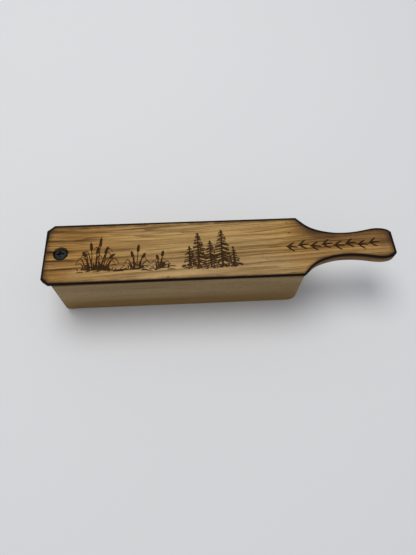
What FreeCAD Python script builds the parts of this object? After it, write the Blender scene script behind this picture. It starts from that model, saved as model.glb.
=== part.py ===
import FreeCAD, Part

import math
import os

V = FreeCAD.Vector

# A box turkey call: a long, shallow wooden sound box with a loose wooden lid that
# ends in a handle. The lid turns and rocks on one sprung screw at the far end.
#
# Frame, in millimetres: +X runs along the call towards the handle's tip, +Z is up,
# the origin is on the resting plane, under the middle of the whole call.

# ---- driving dimensions -------------------------------------------------------
TOTAL_LENGTH = 219.6          # pivot end of the lid to the tip of its handle
LID_WIDTH = 42.3
LID_TOP_Z = 43.6
LID_CROWN_Z = 36.4            # lowest line of the lid's curved underside
LID_EDGE_Z = 41.6             # underside of the lid along its long edges
LID_CHAMFER = 0.7             # bevel round the top edge
LID_CORNER_CLIP_X = 4.5       # clipped corners at the pivot end
LID_CORNER_CLIP_Y = 4.0
SHOULDER_X = 159.4            # from the pivot end to where the handle begins
HANDLE_UNDER_EASE = 0.8       # eased lower edge of the handle

BOX_START = 4.2               # from the lid's pivot end to the box's end wall
BOX_END = 160.9
BOX_WIDTH = 36.3
LIP_PEAK_Z = 36.0             # top of a side board, at mid length
LIP_END_DROP = 1.0            # how much lower the lip is at each end
SIDE_THICK = 3.2
LIP_THICK = 2.0               # side board's thickness at its sounding edge
TAPER_FROM_Z = 20.0           # where the inner face begins to lean outwards
BASE_THICK = 6.0
PIVOT_BLOCK = 22.0            # length of each end block
HANDLE_BLOCK = 16.0
BLOCK_TOP_Z = 35.4
HANDLE_CORNER_R = 6.0         # rounded lower corner under the handle
PIVOT_CORNER_R = 2.5
EDGE_EASE = 0.6               # eased outer edges of the box

PIVOT_X = 10.15               # screw axis, from the lid's pivot end
BORE_X = 10.4                 # the lid's bore: the lid sits a little off the screw's axis
COUNTERBORE_R = 4.65
COUNTERBORE_FLOOR_Z = 38.3
LID_HOLE_R = 2.5

SCREW_HEAD_R = 3.65
SCREW_HEAD_H = 2.2
SCREW_HEAD_TOP_Z = 43.35
RECESS_REACH = 2.1            # half the width of the cross recess
SCREW_SHANK_R = 1.9
THREAD_OUTER_R = 2.1
THREAD_ROOT_R = 1.45
THREAD_PITCH = 1.6
SCREW_TIP_Z = 15.8

WASHER_R = 4.75
WASHER_HOLE_R = 2.15
WASHER_TOP_Z = 36.35

WIRE_R = 0.3
SPRING_TOP_R = 3.05           # wire's centre line
SPRING_BOTTOM_R = 3.9
SPRING_TURNS = 3.25

# ---- derived ------------------------------------------------------------------
X0 = -TOTAL_LENGTH / 2
HALF = LID_WIDTH / 2
BX0, BX1 = X0 + BOX_START, X0 + BOX_END
BH = BOX_WIDTH / 2
CX0, CX1 = BX0 + PIVOT_BLOCK, BX1 - HANDLE_BLOCK      # the sound chamber's ends
PX = X0 + PIVOT_X
BX = X0 + BORE_X

os.makedirs("parts", exist_ok=True)


def line(a, b):
    return Part.LineSegment(V(*a), V(*b)).toShape()


def prism_xz(points, y0, y1):
    """A straight-sided outline in the X-Z plane, run from y0 to y1."""
    wire = Part.makePolygon([V(x, y0, z) for x, z in points + points[:1]])
    return Part.Face(wire).extrude(V(0, y1 - y0, 0))


def prism_yz(points, x0, x1):
    wire = Part.makePolygon([V(x0, y, z) for y, z in points + points[:1]])
    return Part.Face(wire).extrude(V(x1 - x0, 0, 0))


# ---- the box's side profile -----------------------------------------------------
# One outline in X-Z gives the rounded lower corners and the gently arched lip.
def side_profile(y, top_ends, top_mid):
    r0, r1 = PIVOT_CORNER_R, HANDLE_CORNER_R
    s = math.sqrt(0.5)
    edges = [
        line((BX0 + r0, y, 0), (BX1 - r1, y, 0)),
        Part.Arc(V(BX1 - r1, y, 0), V(BX1 - r1 + r1 * s, y, r1 - r1 * s), V(BX1, y, r1)).toShape(),
        line((BX1, y, r1), (BX1, y, top_ends)),
        Part.Arc(V(BX1, y, top_ends), V((BX0 + BX1) / 2, y, top_mid), V(BX0, y, top_ends)).toShape()
        if top_mid != top_ends
        else line((BX1, y, top_ends), (BX0, y, top_ends)),
        line((BX0, y, top_ends), (BX0, y, r0)),
        Part.Arc(V(BX0, y, r0), V(BX0 + r0 - r0 * s, y, r0 - r0 * s), V(BX0 + r0, y, 0)).toShape(),
    ]
    return Part.Face(Part.Wire(Part.__sortEdges__(edges)))


def side_board(sign):
    outer, inner = sign * BH, sign * (BH - SIDE_THICK)
    lip = sign * (BH - LIP_THICK)
    face = side_profile(outer, LIP_PEAK_Z - LIP_END_DROP, LIP_PEAK_Z)
    board = face.extrude(V(0, inner - outer, 0))
    # Over the chamber only, the inner face leans out to a thin sounding lip.
    wedge = prism_yz([(inner - sign * 1, TAPER_FROM_Z), (inner, TAPER_FROM_Z),
                      (lip, LIP_PEAK_Z + 0.5), (inner - sign * 1, LIP_PEAK_Z + 0.5)], CX0, CX1)
    board = board.cut(wedge)
    # Eased long lower edge, ends and lip.
    picked = []
    for e in board.Edges:
        ys = [v.Y for v in e.Vertexes]
        if all(abs(y - outer) < 1e-6 for y in ys):
            picked.append(e)
    return board.makeFillet(EDGE_EASE, picked)


front_side_board = side_board(-1)
rear_side_board = side_board(+1)

between = BH - SIDE_THICK
core = side_profile(-between, BLOCK_TOP_Z, BLOCK_TOP_Z).extrude(V(0, 2 * between, 0))


def slab(x0, x1, z0, z1):
    return Part.makeBox(x1 - x0, 2 * between + 2, z1 - z0, V(x0, -between - 1, z0))


base_board = core.common(slab(BX0 - 1, BX1 + 1, -1, BASE_THICK))
pivot_end_block = core.common(slab(BX0 - 1, CX0, BASE_THICK, LIP_PEAK_Z))
handle_end_block = core.common(slab(CX1, BX1 + 1, BASE_THICK, LIP_PEAK_Z))


def ease(shape, test, size):
    picked = [e for e in shape.Edges if test(e)]
    return shape.makeChamfer(size, picked) if picked else shape


def top_end_edge(x):
    def test(e):
        return all(abs(v.X - x) < 1e-6 and abs(v.Z - BLOCK_TOP_Z) < 1e-6 for v in e.Vertexes) and e.Length > 5
    return test


pivot_end_block = ease(pivot_end_block, top_end_edge(BX0), 0.5)
handle_end_block = ease(handle_end_block, top_end_edge(BX1), 0.5)
pivot_end_block = ease(pivot_end_block, top_end_edge(CX0), 0.8)
handle_end_block = ease(handle_end_block, top_end_edge(CX1), 0.8)

# ---- the pivot screw: pan head, cross recess, plain shank, wood thread ------------
head_low = SCREW_HEAD_TOP_Z - SCREW_HEAD_H
rim_z = head_low + 1.45
dome = Part.Arc(V(SCREW_HEAD_R, 0, rim_z), V(SCREW_HEAD_R * 0.72, 0, SCREW_HEAD_TOP_Z - 0.375),
                V(0, 0, SCREW_HEAD_TOP_Z)).toShape()
profile = [V(0, 0, SCREW_TIP_Z)]
z = SCREW_TIP_Z + 3.2
profile.append(V(THREAD_ROOT_R, 0, z))
thread_top = 33.6
while z + THREAD_PITCH <= thread_top + 1e-6:
    profile.append(V(THREAD_OUTER_R, 0, z + THREAD_PITCH * 0.30))
    profile.append(V(THREAD_OUTER_R, 0, z + THREAD_PITCH * 0.40))
    profile.append(V(THREAD_ROOT_R, 0, z + THREAD_PITCH * 0.70))
    profile.append(V(THREAD_ROOT_R, 0, z + THREAD_PITCH))
    z += THREAD_PITCH
profile += [V(SCREW_SHANK_R, 0, z + 0.5), V(SCREW_SHANK_R, 0, head_low), V(SCREW_HEAD_R, 0, head_low),
            V(SCREW_HEAD_R, 0, rim_z)]
edges = [Part.LineSegment(a, b).toShape() for a, b in zip(profile, profile[1:])]
edges += [dome, line((0, 0, SCREW_HEAD_TOP_Z), (0, 0, SCREW_TIP_Z))]
pivot_screw = Part.Face(Part.Wire(Part.__sortEdges__(edges))).revolve(V(0, 0, 0), V(0, 0, 1), 360)
recess = None
for turn in (8, 98):
    arm = prism_xz([(-RECESS_REACH, SCREW_HEAD_TOP_Z + 1), (RECESS_REACH, SCREW_HEAD_TOP_Z + 1),
                    (RECESS_REACH, SCREW_HEAD_TOP_Z - 0.3), (0.9, SCREW_HEAD_TOP_Z - 1.6),
                    (-0.9, SCREW_HEAD_TOP_Z - 1.6), (-RECESS_REACH, SCREW_HEAD_TOP_Z - 0.3)], -0.5, 0.5)
    arm.rotate(V(0, 0, 0), V(0, 0, 1), turn)
    recess = arm if recess is None else recess.fuse(arm)
pivot_screw = pivot_screw.cut(recess)
pivot_screw.translate(V(PX, 0, 0))

pivot_end_block = pivot_end_block.cut(pivot_screw)

# ---- washer under the lid ---------------------------------------------------------
pivot_washer = Part.makeCylinder(WASHER_R, WASHER_TOP_Z - BLOCK_TOP_Z, V(PX, 0, BLOCK_TOP_Z)).cut(
    Part.makeCylinder(WASHER_HOLE_R, 3, V(PX, 0, BLOCK_TOP_Z - 1)))
rims = [e for e in pivot_washer.Edges if abs(e.BoundBox.ZLength) < 1e-6 and e.BoundBox.XLength > 2 * WASHER_R - 0.1
        and e.BoundBox.ZMin > BLOCK_TOP_Z + 0.1]
pivot_washer = pivot_washer.makeChamfer(0.15, rims)

# ---- conical spring between the screw's head and the counterbore's floor -----------
low, high = COUNTERBORE_FLOOR_Z + WIRE_R + 0.02, head_low - WIRE_R - 0.02
points = []
count = int(SPRING_TURNS * 16)
for i in range(count + 1):
    t = i / count
    a = 2 * math.pi * SPRING_TURNS * t
    # flat at both ends, rising in between
    rise = min(1.0, max(0.0, (t - 0.12) / 0.76))
    rise = rise * rise * (3 - 2 * rise) * 0.35 + rise * 0.65
    r = SPRING_BOTTOM_R + (SPRING_TOP_R - SPRING_BOTTOM_R) * t
    points.append(V(PX + r * math.cos(a), r * math.sin(a), low + (high - low) * rise))
path = Part.BSplineCurve()
path.interpolate(points)
spine = Part.Wire([path.toShape()])
start = points[0]
tangent = path.tangent(path.FirstParameter)[0]
ring = Part.Wire([Part.Circle(start, tangent, WIRE_R).toShape()])
pivot_spring = spine.makePipeShell([ring], True, True)

# ---- the lid: flat above, curved below, with a waisted handle ----------------------
# Half-widths of the handle, from the shoulder to the tip.
HANDLE = [(159.4, 21.15), (160.7, 19.75), (162.5, 17.85), (164.4, 15.95), (166.7, 14.1), (169.2, 12.6),
          (171.8, 11.45), (174.6, 10.5), (178.1, 9.6), (182.6, 8.8), (187.5, 8.5), (192.4, 8.6), (197.6, 9.15),
          (202.6, 10.0), (206.6, 10.75), (210.4, 11.1), (213.8, 10.85), (216.6, 10.1), (218.6, 8.85),
          (219.6, 7.7)]


def lid_face(z):
    side = [V(X0 + x, y, z) for x, y in HANDLE]
    far = Part.BSplineCurve()
    far.interpolate(side)
    near = Part.BSplineCurve()
    near.interpolate([V(p.x, -p.y, z) for p in side])
    c = [(X0 + LID_CORNER_CLIP_X, HALF), (X0, HALF - LID_CORNER_CLIP_Y), (X0, -HALF + LID_CORNER_CLIP_Y),
         (X0 + LID_CORNER_CLIP_X, -HALF)]
    edges = [
        line((X0 + HANDLE[0][0], HALF, z), (*c[0], z)),
        line((*c[0], z), (*c[1], z)),
        line((*c[1], z), (*c[2], z)),
        line((*c[2], z), (*c[3], z)),
        line((*c[3], z), (X0 + HANDLE[0][0], -HALF, z)),
        near.toShape(),
        line((X0 + HANDLE[-1][0], -HANDLE[-1][1], z), (X0 + HANDLE[-1][0], HANDLE[-1][1], z)),
        far.toShape(),
    ]
    return Part.Face(Part.Wire(Part.__sortEdges__(edges)))


blank = lid_face(LID_CROWN_Z - 1).extrude(V(0, 0, LID_TOP_Z - LID_CROWN_Z + 1))
top_edges = [e for e in blank.Edges if abs(e.BoundBox.ZMin - LID_TOP_Z) < 1e-6 and abs(e.BoundBox.ZMax - LID_TOP_Z) < 1e-6]
blank = blank.makeChamfer(LID_CHAMFER, top_edges)

UNDER = [(0.0, 0.0), (5.0, 0.09), (9.0, 0.30), (12.0, 0.62), (14.5, 1.15), (16.5, 1.95), (18.5, 3.15), (21.15, 5.2),
         (23.0, 6.8)]
section = [V(X0 - 5, -y, LID_CROWN_Z + h) for y, h in reversed(UNDER[1:])] + [V(X0 - 5, y, LID_CROWN_Z + h) for y, h in UNDER]
under = Part.BSplineCurve()
under.interpolate(section)
a, b = section[0], section[-1]
above = [line((a.x, a.y, a.z), (a.x, a.y, LID_TOP_Z + 2)), line((a.x, a.y, LID_TOP_Z + 2), (b.x, b.y, LID_TOP_Z + 2)),
         line((b.x, b.y, LID_TOP_Z + 2), (b.x, b.y, b.z))]
keep = Part.Face(Part.Wire(Part.__sortEdges__([under.toShape(), *above]))).extrude(V(TOTAL_LENGTH + 10, 0, 0))
lid_paddle = blank.common(keep)
lid_paddle = lid_paddle.cut(Part.makeCylinder(COUNTERBORE_R, 20, V(BX, 0, COUNTERBORE_FLOOR_Z)))
lid_paddle = lid_paddle.cut(Part.makeCylinder(LID_HOLE_R, 20, V(BX, 0, LID_CROWN_Z - 5)))

NODES = {
    "front_side_board": front_side_board,
    "rear_side_board": rear_side_board,
    "base_board": base_board,
    "pivot_end_block": pivot_end_block,
    "handle_end_block": handle_end_block,
    "lid_paddle": lid_paddle,
    "pivot_screw": pivot_screw,
    "pivot_spring": pivot_spring,
    "pivot_washer": pivot_washer,
}
for name, shape in NODES.items():
    solids = shape.Solids
    assert len(solids) == 1, (name, len(solids))
    solid = solids[0]
    assert solid.isValid() and solid.Volume > 0, name
    solid.exportStep(f"parts/{name}.step")
    bb = solid.BoundBox
    print(f"{name:18s} x {bb.XMin:8.2f} {bb.XMax:8.2f}  y {bb.YMin:7.2f} {bb.YMax:7.2f}  z {bb.ZMin:6.2f} {bb.ZMax:6.2f}  {solid.Volume:10.2f} mm3")
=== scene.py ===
import math

import bpy
import numpy as np
from mathutils import Matrix, Vector


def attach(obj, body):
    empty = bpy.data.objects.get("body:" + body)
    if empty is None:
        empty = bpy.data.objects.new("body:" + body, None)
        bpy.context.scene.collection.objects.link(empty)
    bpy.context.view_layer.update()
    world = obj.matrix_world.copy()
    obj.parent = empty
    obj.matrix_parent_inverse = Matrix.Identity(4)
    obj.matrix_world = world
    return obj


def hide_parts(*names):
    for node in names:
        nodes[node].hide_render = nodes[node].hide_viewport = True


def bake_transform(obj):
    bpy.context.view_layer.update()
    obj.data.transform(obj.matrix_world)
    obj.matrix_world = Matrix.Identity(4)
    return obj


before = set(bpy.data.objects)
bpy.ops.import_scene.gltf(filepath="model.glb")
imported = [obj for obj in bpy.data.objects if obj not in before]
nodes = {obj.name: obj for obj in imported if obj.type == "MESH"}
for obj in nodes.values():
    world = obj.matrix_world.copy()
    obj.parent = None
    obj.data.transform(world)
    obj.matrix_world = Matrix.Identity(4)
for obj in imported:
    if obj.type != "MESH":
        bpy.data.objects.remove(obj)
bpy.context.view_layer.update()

MM = 0.001
RNG = np.random.default_rng(7)

# ---------------------------------------------------------------- real sizes, mm
LENGTH, WIDTH = 219.6, 42.3
TOP, CROWN = 43.6, 36.4
X0 = -LENGTH / 2
HALF = WIDTH / 2
CLIP_X, CLIP_Y = 4.5, 4.0
CHAMFER = 0.7
PIVOT = (X0 + 10.4, 0.0)          # the lid's bore
SCREW_X = X0 + 10.15              # the screw's axis
BORE_R, BORE_FLOOR, HOLE_R = 4.65, 38.3, 2.5
HANDLE = [(159.4, 21.15), (160.7, 19.75), (162.5, 17.85), (164.4, 15.95), (166.7, 14.1), (169.2, 12.6),
          (171.8, 11.45), (174.6, 10.5), (178.1, 9.6), (182.6, 8.8), (187.5, 8.5), (192.4, 8.6), (197.6, 9.15),
          (202.6, 10.0), (206.6, 10.75), (210.4, 11.1), (213.8, 10.85), (216.6, 10.1), (218.6, 8.85),
          (219.6, 7.7)]
UNDER = [(0.0, 0.0), (5.0, 0.09), (9.0, 0.30), (12.0, 0.62), (14.5, 1.15), (16.5, 1.95), (18.5, 3.15),
         (21.15, 5.2), (23.0, 6.8)]


def spline(points, step):
    """A natural cubic curve through the points, sampled about every step."""
    p = np.array(points, float)
    t = np.concatenate([[0], np.cumsum(np.linalg.norm(np.diff(p, axis=0), axis=1))])
    n = len(p)
    h = np.diff(t)
    a = np.zeros((n, n))
    b = np.zeros((n, p.shape[1]))
    a[0, 0] = a[-1, -1] = 1
    for i in range(1, n - 1):
        a[i, i - 1], a[i, i], a[i, i + 1] = h[i - 1], 2 * (h[i - 1] + h[i]), h[i]
        b[i] = 6 * ((p[i + 1] - p[i]) / h[i] - (p[i] - p[i - 1]) / h[i - 1])
    m = np.linalg.solve(a, b)
    s = np.linspace(0, t[-1], max(2, int(t[-1] / step) + 1))
    k = np.clip(np.searchsorted(t, s, side="right") - 1, 0, n - 2)
    u = (s - t[k])[:, None]
    v = (t[k + 1] - s)[:, None]
    hk = h[k][:, None]
    return (m[k] * v**3 + m[k + 1] * u**3) / (6 * hk) + (p[k] / hk - m[k] * hk / 6) * v + (p[k + 1] / hk - m[k + 1] * hk / 6) * u


under_curve = spline(UNDER, 0.1)


def under_z(y):
    return CROWN + np.interp(np.abs(y), under_curve[:, 0], under_curve[:, 1])


def smooth(a, b, x):
    t = np.clip((x - a) / (b - a), 0, 1)
    return t * t * (3 - 2 * t)


# ---------------------------------------------------------------- mesh helpers
def make_object(name, verts, faces, body, mats, smooth_angle=40, face_mats=None):
    mesh = bpy.data.meshes.new(name)
    mesh.from_pydata([tuple(v) for v in np.asarray(verts) * MM], [], [tuple(int(i) for i in f) for f in faces])
    mesh.validate()
    mesh.update()
    ob = bpy.data.objects.new(name, mesh)
    bpy.context.scene.collection.objects.link(ob)
    for m in mats:
        mesh.materials.append(m)
    if face_mats is not None:
        mesh.polygons.foreach_set("material_index", np.asarray(face_mats, np.int32))
    mesh.shade_smooth()
    mesh.set_sharp_from_angle(angle=math.radians(smooth_angle))
    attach(ob, body)
    return ob


def float_attribute(ob, name, values):
    a = ob.data.attributes.new(name, "FLOAT", "POINT")
    a.data.foreach_set("value", np.asarray(values, np.float32))


def zipper(a, b, pa, pb):
    """Triangles between two chains of vertex numbers a and b that run the same way, at positions pa and pb in 0..1."""
    out, i, j = [], 0, 0
    while i < len(a) - 1 or j < len(b) - 1:
        if j == len(b) - 1 or (i < len(a) - 1 and pa[i + 1] <= pb[j + 1]):
            out.append((a[i], b[j], a[i + 1]))
            i += 1
        else:
            out.append((a[i], b[j], b[j + 1]))
            j += 1
    return out


def value_noise(x, y, seed=0, octaves=3):
    """Smooth noise in -1..1."""
    total, amp, norm = np.zeros_like(x), 1.0, 0.0
    for o in range(octaves):
        r = np.random.default_rng(seed * 31 + o)
        table = r.uniform(-1, 1, (256, 256))
        xi, yi = np.floor(x).astype(int), np.floor(y).astype(int)
        fx, fy = x - xi, y - yi
        fx, fy = fx * fx * (3 - 2 * fx), fy * fy * (3 - 2 * fy)
        g = lambda a, b: table[a % 256, b % 256]
        total += amp * ((g(xi, yi) * (1 - fx) + g(xi + 1, yi) * fx) * (1 - fy)
                        + (g(xi, yi + 1) * (1 - fx) + g(xi + 1, yi + 1) * fx) * fy)
        norm += amp
        amp *= 0.5
        x, y = x * 2.03 + 17.1, y * 2.03 + 5.7
    return total / norm


# ---------------------------------------------------------------- the burnt-in picture
# A plain waterside motif drawn for this model: reeds and rushes on the left, pines on the right,
# and a line of bird tracks on the handle. Lid coordinates: x from the pivot end, y across, in mm.
class Art:
    def __init__(self):
        self.segments = []      # x0, y0, x1, y1, half width at each end, strength

    def stroke(self, points, width=0.5, taper=0.6, strength=1.0, wobble=0.0, seed=0):
        p = np.array(points, float)
        if len(p) > 2:
            p = spline(p, 0.5)
        elif wobble:
            n = max(2, int(np.linalg.norm(p[1] - p[0]) / 0.6))
            p = p[0] + (p[1] - p[0]) * np.linspace(0, 1, n)[:, None]
        if wobble:
            r = np.random.default_rng(seed + 1000)
            p = p + r.normal(0, wobble, p.shape)
        n = len(p)
        for i in range(n - 1):
            t0, t1 = i / (n - 1), (i + 1) / (n - 1)
            w0 = width * (1 - (1 - taper) * abs(2 * t0 - 1) ** 2)
            w1 = width * (1 - (1 - taper) * abs(2 * t1 - 1) ** 2)
            self.segments.append((*p[i], *p[i + 1], w0 / 2, w1 / 2, strength))

    def limb(self, points, w0, w1, strength=1.0):
        p = spline(points, 0.4) if len(points) > 2 else np.array(points, float)
        n = len(p)
        for i in range(n - 1):
            t0, t1 = i / (n - 1), (i + 1) / (n - 1)
            self.segments.append((*p[i], *p[i + 1], (w0 + (w1 - w0) * t0) / 2, (w0 + (w1 - w0) * t1) / 2, strength))

    def field(self, x, y):
        """0.5 at the edge of a stroke, rising to 1 at 0.4 mm inside it and falling to 0 at 0.4 mm outside."""
        ink = np.full_like(x, -1.0)
        for x0, y0, x1, y1, w0, w1, s in self.segments:
            m = 0.45 + max(w0, w1)
            near = np.flatnonzero((x > min(x0, x1) - m) & (x < max(x0, x1) + m) & (y > min(y0, y1) - m) & (y < max(y0, y1) + m))
            if not len(near):
                continue
            px, py = x[near], y[near]
            dx, dy = x1 - x0, y1 - y0
            t = np.clip(((px - x0) * dx + (py - y0) * dy) / (dx * dx + dy * dy + 1e-9), 0, 1)
            d = np.hypot(px - x0 - t * dx, py - y0 - t * dy)
            w = (w0 + (w1 - w0) * t) * (0.7 + 0.3 * s) + 0.06
            ink[near] = np.maximum(ink[near], w - d)
        return np.clip(0.5 + ink / 0.8, 0, 1)


art = Art()
rr = np.random.default_rng(11)


def tuft(x, y, n=7, h=2.2, lean=0.9, w=0.38):
    for _ in range(n):
        a = rr.uniform(-lean, lean)
        q = rr.uniform(0.55, 1.0) * h
        bx = x + rr.uniform(-1.1, 1.1)
        art.stroke([(bx, y + rr.uniform(-0.4, 0.3)), (bx + a * q * 0.35, y + q * 0.6), (bx + a * q, y + q)],
                   width=w * rr.uniform(0.7, 1.2), taper=0.5, strength=rr.uniform(0.7, 1))


def ground(x0, x1, y0, y1, density, seed):
    """Broken low strokes that stand for rough grass."""
    r = np.random.default_rng(seed)
    n = int((x1 - x0) * density)
    for _ in range(n):
        t = r.uniform(0, 1)
        x = x0 + (x1 - x0) * t
        y = y0 + (y1 - y0) * t + r.normal(0, 0.6)
        L = r.uniform(0.5, 2.0)
        a = r.uniform(-0.35, 0.35)
        art.stroke([(x, y), (x + L, y + a * L)], width=r.uniform(0.3, 0.62), taper=0.4, strength=r.uniform(0.55, 1), wobble=0.08, seed=int(r.integers(1e6)))


def pine(x, base, top, spread, seed, lit=0.45):
    """A pine: drooping boughs in tiers with hanging needles, open on the left where the light comes from."""
    r = np.random.default_rng(seed)
    h = top - base
    lean = r.normal(0, 0.2)
    art.limb([(x + r.normal(0, 0.1), base), (x + lean * 0.5, base + h * 0.5), (x + lean, top)], 1.15, 0.35)
    art.limb([(x + 0.35, base - 0.2), (x + lean * 0.5 + 0.3, base + h * 0.4)], 0.9, 0.5)
    tiers = max(4, int(h / 1.55))
    for i in range(tiers):
        t = i / (tiers - 1)
        y = top - 0.7 - t * (h * 0.84)
        for s in (-1, 1):
            L = spread * (0.13 + 0.87 * t ** 0.85) * r.uniform(0.78, 1.14)
            yy = y + r.normal(0, 0.25)
            drop = (0.30 + 0.10 * t) * r.uniform(0.8, 1.2)
            xs = lambda q: x + lean * (1 - t) + s * L * q
            ys = lambda q: yy - drop * L * q * (1.25 - 0.45 * q)
            art.limb([(xs(0), ys(0)), (xs(0.35), ys(0.35)), (xs(0.7), ys(0.7)), (xs(1), ys(1) + 0.12)], 0.80, 0.42)
            n = max(2, int(L / 0.46))
            for k in range(n):
                q = (k + r.uniform(0.2, 0.9)) / n
                if s < 0 and r.uniform() < lit:
                    continue
                fall = r.uniform(0.45, 1.15) * (1.0 if s > 0 else 0.75)
                art.stroke([(xs(q), ys(q)), (xs(q) + s * r.uniform(0.1, 0.5), ys(q) - fall)], width=r.uniform(0.38, 0.66), taper=0.45, strength=r.uniform(0.75, 1))
                if r.uniform() < 0.25:
                    art.stroke([(xs(q), ys(q)), (xs(q) + s * 0.35, ys(q) + 0.4)], width=0.36, taper=0.5, strength=0.8)


def reed(x, base, tall, bend, seed, head=True):
    """A reed mace: a thin stem that bends one way, with a thick brown head and a spike above it."""
    r = np.random.default_rng(seed)
    q = lambda t: (x + bend * t * t, base + tall * t * (1 - 0.04 * abs(bend) * t))
    art.limb([q(0), q(0.35), q(0.7), q(1.0)], 0.50, 0.34)
    if head:
        art.limb([q(0.72), q(0.82), q(0.91)], 1.75, 1.55)
        art.limb([q(0.91), q(1.0)], 0.5, 0.3)
        for _ in range(3):
            t = r.uniform(0.74, 0.90)
            cx, cy = q(t)
            art.stroke([(cx - 0.55, cy), (cx - 0.5, cy + 0.8)], width=0.3, strength=0.5)


def blade(x, base, reach, rise, fold, width=0.7):
    """A strap leaf that rises, then may fold over."""
    pts = [(x, base), (x + reach * 0.22, base + rise * 0.55), (x + reach * 0.6, base + rise)]
    pts.append((x + reach, base + rise * (1 - fold)))
    art.limb(pts, width * 0.72, 0.30)


# -- left: a clump of reeds, then rushes thinning out along the water
for k, (x, tall, bend, head) in enumerate([
    (27.4, 15.6, -3.6, True), (30.0, 21.4, -1.6, True), (32.2, 17.6, 1.2, True), (34.0, 24.6, 0.8, True), (36.2, 19.0, 3.4, True),
    (38.2, 14.2, 5.6, True), (29.0, 11.6, -5.0, False), (35.0, 12.4, 6.6, False), (55.4, 13.4, -1.8, True), (57.4, 17.8, 0.8, True),
    (59.2, 12.2, 3.2, True), (70.6, 9.6, -1.3, True), (72.2, 12.6, 1.1, True)]):
    reed(x, -12.4, tall, bend, 300 + k, head)
for x, reach, rise, fold, w in [
    (26.4, -6.2, 8.2, 0.55, 0.9), (28.2, -4.4, 12.4, 0.20, 0.95), (30.4, -7.4, 13.6, 0.42, 0.9), (31.6, 4.6, 10.2, 0.25, 0.95),
    (33.4, -2.8, 15.8, 0.10, 0.9), (34.8, 7.8, 11.6, 0.45, 1.0), (36.8, 5.4, 14.6, 0.15, 0.9), (38.4, 8.0, 7.8, 0.55, 0.9),
    (39.4, 4.4, 5.6, 0.2, 0.8), (25.4, -4.4, 4.6, 0.25, 0.8), (54.4, -4.6, 6.4, 0.45, 0.85), (56.2, -2.6, 9.6, 0.10, 0.85),
    (58.4, 4.8, 8.4, 0.40, 0.9), (60.0, 5.4, 5.2, 0.50, 0.8), (69.8, -3.6, 4.8, 0.40, 0.75), (71.4, 2.4, 6.8, 0.15, 0.75),
    (73.0, 4.2, 4.4, 0.45, 0.75)]:
    blade(x, -12.2, reach, rise, fold, w)
for cx, n, spread in ((32.5, 40, 5.6), (57.5, 20, 3.6), (71.6, 15, 3.0)):
    for _ in range(n):
        bx = cx + rr.normal(0, spread)
        tall = rr.uniform(1.6, 6.0) * math.exp(-((bx - cx) / (spread * 1.6)) ** 2)
        art.stroke([(bx, -12.6), (bx + rr.normal(0, 0.35), -12.4 + tall * 0.6), (bx + rr.normal(0, 0.9), -12.2 + tall)],
                   width=rr.uniform(0.36, 0.62), taper=0.5, strength=rr.uniform(0.8, 1))
# ripples: short level strokes, broken, in rows that thin towards the front
for row, (y, density) in enumerate(((-9.2, 0.10), (-10.4, 0.16), (-11.6, 0.26), (-12.8, 0.46), (-13.7, 0.34))):
    for _ in range(int(62 * density)):
        x = rr.uniform(20.5, 79.0)
        L = rr.uniform(1.6, 5.0)
        yy = y + rr.normal(0, 0.18)
        art.stroke([(x, yy), (x + L * 0.5, yy + rr.uniform(0.1, 0.3)), (x + L, yy)], width=rr.uniform(0.38, 0.6), taper=0.35, strength=rr.uniform(0.7, 1))

# -- right: pines of mixed height on rough ground
for x, base, top, spread, seed in ((89.6, -11.4, 2.4, 4.4, 410), (95.0, -12.2, 11.8, 6.2, 411), (102.6, -11.6, 6.0, 4.8, 412),
                                   (109.6, -12.4, 13.6, 6.6, 413), (117.0, -11.4, 0.8, 3.9, 414)):
    pine(x, base, top, spread, seed)
ground(84, 121, -12.8, -12.3, 3.0, 24)
ground(87, 118, -13.6, -13.3, 1.6, 25)
for gx in np.arange(85.0, 121.0, 2.1):
    tuft(gx, -12.9 + rr.uniform(-0.3, 0.4), n=4, h=1.8)

# -- handle: three-toed tracks in a walking line
for k, x in enumerate(np.linspace(151.8, 204.4, 8)):
    side = 1 if k % 2 else -1
    y = -0.5 + 0.5 * side
    a = 0.07 * side
    ca, sa = math.cos(a), math.sin(a)

    def toe(points, w0, w1, k=k):
        q = [(x + px * ca - py * sa, y + px * sa + py * ca) for px, py in points]
        art.limb(q, w0, w1)

    toe([(-0.2, 0.0), (2.2, 0.12), (4.9, 0.0)], 1.45, 0.95)
    toe([(-0.2, 0.1), (1.0, 1.35), (3.0, 2.75)], 1.35, 0.85)
    toe([(-0.2, -0.1), (1.0, -1.35), (3.0, -2.75)], 1.35, 0.85)
    toe([(0.0, 0.0), (-1.5, -0.25 * side)], 1.2, 0.6)
    for px, py in ((4.9, 0.0), (3.0, 2.75), (3.0, -2.75)):
        toe([(px, py), (px + 0.75, py * 1.14)], 0.6, 0.35)

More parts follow.
